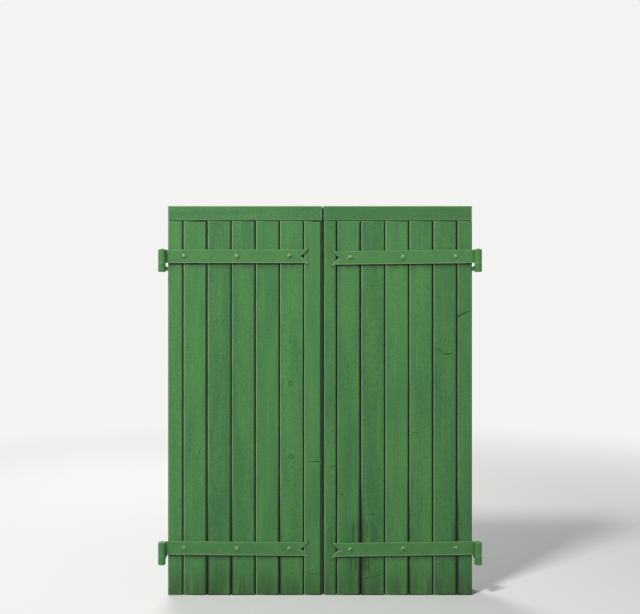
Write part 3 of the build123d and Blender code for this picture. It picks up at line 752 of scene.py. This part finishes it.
def add_piece(node, shape, *materials):
    """Turn a shape into the piece that stands for a CAD node."""
    name = f"{node}_finished"
    if "tone" not in shape.verts.layers.float:
        set_tone(shape, tone_for(name))
    mesh = to_mesh(name, shape)
    for material in materials:
        mesh.materials.append(bpy.data.materials[material])
    shade(mesh)
    piece = add_object(name, mesh)
    piece.modifiers.new("Even shading", "WEIGHTED_NORMAL").keep_sharp = True
    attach(piece, body_of(node))
    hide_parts(node)
    return piece


def shade(mesh):
    """Smooth shading that stops at sharp edges."""
    mesh.polygons.foreach_set("use_smooth", [True] * len(mesh.polygons))
    mesh.set_sharp_from_angle(angle=SHARP)


def carve(piece, cutter):
    """Take a cutter out of a piece; the cut keeps the cutter's material."""
    tone = piece.data.attributes["tone"].data[0].value
    piece.modifiers["Even shading"].show_viewport = False
    modifier = piece.modifiers.new("Carve", "BOOLEAN")
    modifier.operation = "DIFFERENCE"
    modifier.solver = "EXACT"
    modifier.material_mode = "TRANSFER"
    modifier.object = cutter
    whole, carved = piece.data, final_mesh(piece)
    piece.modifiers.remove(modifier)
    piece.modifiers["Even shading"].show_viewport = True
    piece.data = carved
    carved.attributes["tone"].data.foreach_set("value", [tone] * len(carved.vertices))
    bpy.data.meshes.remove(whole)
    bpy.data.objects.remove(cutter)
    shade(carved)


def groove_cutter(name, tone, wide, deep):
    """Thin tapering tubes along a board's cracks and rings, and small drops at its pits."""
    curve = bpy.data.curves.new(f"{name}_marks", "CURVE")
    curve.dimensions = "3D"
    curve.bevel_depth = MM
    curve.bevel_resolution = 1
    curve.use_fill_caps = True
    routes = [(route, False) for route in CRACKS.get(name, [])]
    for x, z, radius, half in RINGS.get(name, []):
        turns = [2 * pi * step / RING_STEPS for step in range(RING_STEPS)]
        routes.append(([(x + radius * cos(turn), z + radius * sin(turn), half) for turn in turns], True))
    for x, z, radius in PITS.get(name, []):
        end = radius * PIT_TAPER
        routes.append(([(x - PIT_REACH, z, end), (x, z, radius), (x + PIT_REACH, z, end)], False))
    for route, closed in routes:
        spline = curve.splines.new("POLY")
        spline.points.add(len(route) - 1)
        spline.use_cyclic_u = closed
        for point, (x, z, half) in zip(spline.points, route):
            point.co = (x * MM, 0.0, z * MM, 1.0)
            point.radius = half * wide
    holder = add_object(curve.name, curve)
    mesh = final_mesh(holder)
    bpy.data.objects.remove(holder)
    shape = bmesh.new()
    shape.from_mesh(mesh)
    bmesh.ops.remove_doubles(shape, verts=shape.verts, dist=MERGE)
    bmesh.ops.scale(shape, verts=shape.verts, vec=(1.0, deep, 1.0))
    bmesh.ops.recalc_face_normals(shape, faces=shape.faces)
    shape.verts.layers.float.new("edge")
    set_tone(shape, tone)
    shape.to_mesh(mesh)
    shape.free()
    mesh.materials.clear()
    mesh.materials.append(bpy.data.materials[LINING])
    return add_object(mesh.name, mesh)


def wave(shape, height, tone):
    """Let a board's faces rise and fall a little along its length."""
    for vert in shape.verts:
        place = Vector((vert.co.x * WAVES[0], tone * WAVES[1], vert.co.z * WAVES[2]))
        vert.co.y += height * noise.noise(place)


def make_board(node, dirt_and_shade, sizes):
    """One board with eased edges, a slight wave, and the cracks and pits that it has."""
    shape = joined(node)
    soften(shape, sizes.board_round, sizes.board_rim)
    bmesh.ops.dissolve_degenerate(shape, dist=SLIVER, edges=shape.edges)
    cut_across(shape, Z, sizes.wave_step)
    shade_far_edge(shape, dirt_and_shade)
    cut_across(shape, X, sizes.wave_step / FINER_ACROSS)
    tone = tone_for(node)
    wave(shape, sizes.board_wave, tone)
    set_tone(shape, tone)
    board = add_piece(node, shape, BOARD_PAINT)
    if node in CRACKS or node in RINGS or node in PITS:
        carve(board, groove_cutter(node, tone, sizes.crack_width, sizes.crack_depth))


def softened_piece(node, radius, material, rim=0.0):
    """A CAD node with its edges rounded and worn."""
    shape = joined(node)
    soften(shape, radius, rim)
    add_piece(node, shape, material)


def islands(node):
    """Each separate solid in a CAD node, from the left and then from below: X and Z of its middle, half of
    its width, and its front and back."""
    shape = joined(node)
    left = set(shape.verts)
    boxes = []
    while left:
        front = [left.pop()]
        island = list(front)
        while front:
            vert = front.pop()
            near = {edge.other_vert(vert) for edge in vert.link_edges} & left
            left -= near
            front += near
            island += near
        boxes.append(box_of([vert.co for vert in island]))
    shape.free()
    boxes.sort(key=lambda box: (round(box[0].x, 3), round(box[0].z, 3)))
    return [((a.x + b.x) / 2, (a.z + b.z) / 2, (b.x - a.x) / 2, a.y, b.y) for a, b in boxes]


def turned(shape, x, z, profile, steps):
    """Spin a profile of radius and depth round a line along Y; returns the new points."""
    before = set(shape.verts)
    points = [shape.verts.new((x + radius, y, z)) for radius, y in profile]
    edges = [shape.edges.new(pair) for pair in zip(points, points[1:])]
    line = {"cent": (x, 0.0, z), "axis": (0.0, 1.0, 0.0), "angle": 2 * pi}
    bmesh.ops.spin(shape, geom=points + edges, steps=steps, use_merge=True, **line)
    made = [vert for vert in shape.verts if vert not in before]
    bmesh.ops.remove_doubles(shape, verts=made, dist=MERGE)
    return [vert for vert in shape.verts if vert not in before]


def bolt_profile(front, back, pitch):
    """From the crown of a coach bolt's head round to the end of its thread."""
    sphere = (HEAD_RADIUS**2 + HEAD_RISE**2) / (2 * HEAD_RISE)
    under = front + HEAD_RISE
    dome = []
    for step in range(DOME_STEPS + 1):
        reach = HEAD_RADIUS * DOME_SHARE * step / DOME_STEPS
        dome.append((reach, under - HEAD_RISE + sphere - (sphere**2 - reach**2) ** 0.5))
    ease = (HEAD_RADIUS * HEAD_EASE[0], under - HEAD_EASE[1])
    rim = [ease, (HEAD_RADIUS, under - HEAD_RIM), (HEAD_RADIUS, under)]
    thread = []
    place = back - THREAD_TURNS * pitch
    while place < back - pitch:
        thread += [(BOLT_SHANK, place), (BOLT_SHANK - THREAD_DEPTH * pitch * THREAD_WORN, place + pitch / 2)]
        place += pitch
    tip = [(BOLT_SHANK, back - pitch * THREAD_END), (BOLT_SHANK - TIP_EASE, back), (0.0, back)]
    return dome + rim + [(BOLT_SHANK, under)] + thread + tip


def make_bolts(side, sizes):
    """The six coach bolts of a leaf, with weathered hollows in some heads and a painted highlight on each
    crown and upper left side.
    """
    node = f"{side}_coach_bolts"
    shape = bmesh.new()
    rust = shape.verts.layers.float.new("rust")
    edge = shape.verts.layers.float.new("edge")
    for number, (x, z, _, front, back) in enumerate(islands(node)):
        under = front + HEAD_RISE
        points = turned(shape, x, z, bolt_profile(front, back, sizes.thread_pitch), BOLT_STEPS)
        # The crown and the upper left side of each head get lighter paint: a painted highlight.
        for vert in points:
            height = under - vert.co.y
            lean = (x - vert.co.x + vert.co.z - z) / (2 * HEAD_RADIUS)
            highlight_share = max(0.0, min(1.0, height / HEAD_RISE * HEAD_HIGHLIGHT[0] + lean * HEAD_HIGHLIGHT[1]))
            vert[edge] = highlight_share if height > HEAD_RIM else 0.0
        column = number // 2 if side == "left" else 2 - number // 2
        place = (side, LEVELS[1 - number % 2], column)
        if place not in HOLLOWS:
            continue
        across, up, width, depth = (value * MM for value in HOLLOWS[place])
        for vert in points:
            if vert.co.y > under:
                continue
            away = ((vert.co.x - x - across) ** 2 + (vert.co.z - z - up) ** 2) / width**2
            vert.co.y += depth * exp(-away)
            vert[rust] = min(1.0, HOLLOW_RUST * exp(-away))
            vert[edge] *= 1.0 - vert[rust]
    bmesh.ops.recalc_face_normals(shape, faces=shape.faces)
    for face in shape.faces:
        if face.calc_center_median().y > BARE_FROM:
            face.material_index = 1
    add_piece(node, shape, IRON_PAINT, ZINC)


def make_washers(side):
    """Round washers with broken edges."""
    node = f"{side}_washers"
    shape = bmesh.new()
    for x, z, outer, front, back in islands(node):
        profile = [(WASHER_HOLE, front), (outer - WASHER_EASE, front), (outer, front + WASHER_EASE)]
        profile += [(outer, back - WASHER_EASE), (outer - WASHER_EASE, back), (WASHER_HOLE, back)]
        turned(shape, x, z, [*profile, profile[0]], WASHER_STEPS)
    bmesh.ops.recalc_face_normals(shape, faces=shape.faces)
    add_piece(node, shape, ZINC)


def make_screws(node, sizes):
    """Countersunk wood screws, each with its slot turned its own way."""
    shape = bmesh.new()
    screws = islands(node)
    for x, z, head, tip, back in screws:
        shank = head / 2
        profile = [(0.0, back), (head - SCREW_EASE, back), (head, back - SCREW_EASE)]
        profile += [(shank, back - shank), (shank, tip + shank), (0.0, tip)]
        turned(shape, x, z, profile, SCREW_STEPS)
    bmesh.ops.recalc_face_normals(shape, faces=shape.faces)
    piece = add_piece(node, shape, ZINC)
    chance = Random(node)
    slots = bmesh.new()
    for x, z, head, _, back in screws:
        made = bmesh.ops.create_cube(slots, size=1.0)["verts"]
        bmesh.ops.scale(slots, verts=made, vec=(2 * head + MM, 2 * sizes.slot_width, sizes.slot_width))
        turn = Matrix.Rotation(chance.uniform(0, pi), 3, "Y")
        bmesh.ops.rotate(slots, verts=made, cent=(0, 0, 0), matrix=turn)
        bmesh.ops.translate(slots, verts=made, vec=(x, back, z))
    set_tone(slots, tone_for(piece.name))
    name = f"{node}_slots"
    carve(piece, add_object(name, to_mesh(name, slots)))


class SHUTTERS_OT_finishes(Operator):
    """Mix the paints and metals"""

    bl_idname = "shutters.finishes"
    bl_label = "Finishes"
    bl_options = UNDOABLE

    def execute(self, context):
        colours = context.scene.shutter_colours
        painted_wood(BOARD_PAINT, colours, False)
        painted_wood(RAIL_PAINT, colours, True)
        painted_iron(colours)
        crack_lining(colours)
        metal(ZINC, colours.zinc, dullness=0.42, stretch=even(160.0))
        metal(STEEL, colours.steel, dullness=0.3, stretch=(900.0, 900.0, 20.0))
        return {"FINISHED"}


class SHUTTERS_OT_boards(Operator):
    """Make the boards of both leaves"""

    bl_idname = "shutters.boards"
    bl_label = "Boards"
    bl_options = UNDOABLE

    def execute(self, context):
        for side, seams in SEAMS.items():
            for number, dirt_and_shade in enumerate(seams, 1):
                make_board(f"{side}_board_{number}", dirt_and_shade, context.scene.shutter_sizes)
        return {"FINISHED"}


class SHUTTERS_OT_timber(Operator):
    """Make the top rails, the ledges and the frame"""

    bl_idname = "shutters.timber"
    bl_label = "Rails, ledges and frame"
    bl_options = UNDOABLE

    def execute(self, context):
        sizes = context.scene.shutter_sizes
        for side, level in PLACES:
            softened_piece(f"{side}_{level}_ledge", sizes.timber_round, RAIL_PAINT)
        for node in ("left_top_rail", "right_top_rail", "frame_head", "frame_bottom_rail"):
            softened_piece(node, sizes.timber_round, RAIL_PAINT, sizes.rail_rim)
        for node in ("left_jamb", "middle_post", "right_jamb"):
            softened_piece(node, sizes.post_round, BOARD_PAINT)
        return {"FINISHED"}


class SHUTTERS_OT_hinges(Operator):
    """Make the strap hinges and their pintles"""

    bl_idname = "shutters.hinges"
    bl_label = "Hinges"
    bl_options = UNDOABLE

    def execute(self, context):
        sizes = context.scene.shutter_sizes
        for side, level in PLACES:
            node = f"{side}_{level}_strap"
            strap = joined(node)
            soften(strap, sizes.iron_round)
            wear_strap(strap, sizes.iron_rim)
            add_piece(node, strap, IRON_PAINT)
            softened_piece(f"{side}_{level}_pintle", sizes.iron_round, IRON_PAINT)
        return {"FINISHED"}


class SHUTTERS_OT_coach_bolts(Operator):
    """Make the coach bolts with their washers and nuts"""

    bl_idname = "shutters.coach_bolts"
    bl_label = "Coach bolts"
    bl_options = UNDOABLE

    def execute(self, context):
        sizes = context.scene.shutter_sizes
        for side in SIDES:
            make_bolts(side, sizes)
            make_washers(side)
            softened_piece(f"{side}_nuts", sizes.small_round, ZINC)
        return {"FINISHED"}


class SHUTTERS_OT_screws(Operator):
    """Make the slotted wood screws"""

    bl_idname = "shutters.screws"
    bl_label = "Wood screws"
    bl_options = UNDOABLE

    def execute(self, context):
        groups = [f"{side}_{kind}_screws" for side in SIDES for kind in ("ledge", "bolt_plate")]
        for node in (*groups, "frame_screws"):
            make_screws(node, context.scene.shutter_sizes)
        return {"FINISHED"}


class SHUTTERS_OT_sliding_bolts(Operator):
    """Make the sliding bolts, their plates and their knobs"""

    bl_idname = "shutters.sliding_bolts"
    bl_label = "Sliding bolts"
    bl_options = UNDOABLE

    def execute(self, context):
        radius = context.scene.shutter_sizes.small_round
        for side, level in PLACES:
            softened_piece(f"{side}_{level}_bolt_plate", radius, IRON_PAINT)
            softened_piece(f"{side}_{level}_bolt_knob", radius, IRON_PAINT)
            softened_piece(f"{side}_{level}_sliding_bolt", radius, STEEL)
        return {"FINISHED"}


def add_camera(scene, stage):
    """A camera that looks straight at the leaves."""
    camera = bpy.data.cameras.new("camera")
    camera.lens = stage.lens
    holder = add_object("camera", camera)
    holder.location = (0.0, -stage.camera_distance, stage.camera_height)
    holder.rotation_euler = (radians(90), 0.0, 0.0)
    scene.camera = holder


def add_lamp(name, place, size, power):
    """A round lamp that looks at the leaves."""
    lamp = bpy.data.lights.new(name, "AREA")
    lamp.shape = "DISK"
    lamp.size = size
    lamp.energy = power
    holder = add_object(name, lamp)
    holder.location = place
    toward = Vector(LAMPS_AIM) - holder.location
    holder.rotation_euler = toward.to_track_quat("-Z", "Y").to_euler()


def seen_directly(tree):
    """1 for rays that see a thing itself, in metal too, and 0 for the light that it gives."""
    paths = tree.add("LightPath")
    camera, glossy, glass = (paths.beside(f"Is {ray} Ray") for ray in ("Camera", "Glossy", "Transmission"))
    return camera.larger(glossy).larger(glass)


def light_all_round(scene, stage):
    """Even light from every side, in front of the backdrop's colour."""
    world = scene.world or bpy.data.worlds.new("studio")
    scene.world = world
    tree = Tree(world)
    seen = seen_directly(tree)
    light = tree.add("Background", {"Color": (1.0, 1.0, 1.0, 1.0), "Strength": stage.sky})
    shown = tree.add("Background", {"Color": opaque(stage.backdrop), "Strength": 1.0})
    mixed = tree.add("MixShader", {0: seen, 1: light, 2: shown})
    tree.add("OutputWorld", {"Surface": mixed})


def add_floor(stage):
    """A floor that turns into the backdrop a few metres away, so that it has no horizon."""
    shape = bmesh.new()
    bmesh.ops.create_circle(shape, cap_ends=True, segments=FLOOR_STEPS, radius=FLOOR_RADIUS)
    bmesh.ops.translate(shape, verts=shape.verts, vec=(0.0, 0.0, -FLOOR_DROP))
    mesh = to_mesh("floor", shape)
    material = bpy.data.materials.new("floor")
    tree = Tree(material)
    x, y, _ = split(tree, tree.place())
    far = tree.ramp((x * x + y * y).root(), *FLOOR_FADE)
    ground = tree.add("BsdfDiffuse", {"Color": opaque(stage.floor), "Roughness": 0.0})
    glow = tree.add("Emission", {"Color": opaque(stage.backdrop), "Strength": 1.0})
    mixed = tree.add("MixShader", {0: far * seen_directly(tree), 1: ground, 2: glow})
    tree.add("OutputMaterial", {"Surface": mixed})
    mesh.materials.append(material)
    floor = add_object("floor", mesh)


class SHUTTERS_OT_stage(Operator):
    """Set up the camera, the lamps and the floor"""

    bl_idname = "shutters.stage"
    bl_label = "Stage"
    bl_options = UNDOABLE

    def execute(self, context):
        scene, stage = context.scene, context.scene.shutter_stage
        scene.view_settings.view_transform = "Standard"
        add_camera(scene, stage)
        for name, (place, size) in LAMPS.items():
            add_lamp(f"{name}_lamp", place, size, getattr(stage, f"{name}_power"))
        light_all_round(scene, stage)
        add_floor(stage)
        return {"FINISHED"}


OPERATORS = (
    SHUTTERS_OT_finishes,
    SHUTTERS_OT_boards,
    SHUTTERS_OT_timber,
    SHUTTERS_OT_hinges,
    SHUTTERS_OT_coach_bolts,
    SHUTTERS_OT_screws,
    SHUTTERS_OT_sliding_bolts,
    SHUTTERS_OT_stage,
)
GROUPS = {"shutter_sizes": ShutterSizes, "shutter_colours": ShutterColours, "shutter_stage": ShutterStage}


class SHUTTERS_PT_panel(Panel):
    """The shutters' tools in the sidebar"""

    bl_label = "Board shutters"
    bl_idname = "SHUTTERS_PT_panel"
    bl_space_type = "VIEW_3D"
    bl_region_type = "UI"
    bl_category = "Shutters"

    def draw(self, context):
        for key, group in GROUPS.items():
            box = self.layout.box()
            for name in group.__annotations__:
                box.prop(getattr(context.scene, key), name)
        for operator in OPERATORS:
            self.layout.operator(operator.bl_idname)


CLASSES = (*GROUPS.values(), *OPERATORS, SHUTTERS_PT_panel)


def register():
    for kind in CLASSES:
        bpy.utils.register_class(kind)
    for name, group in GROUPS.items():
        setattr(bpy.types.Scene, name, PointerProperty(type=group))


def unregister():
    for name in GROUPS:
        delattr(bpy.types.Scene, name)
    for kind in reversed(CLASSES):
        bpy.utils.unregister_class(kind)


def main():
    register()
    for operator in OPERATORS:
        getattr(bpy.ops.shutters, operator.bl_idname.split(".")[1])()


if __name__ == "__main__":
    main()
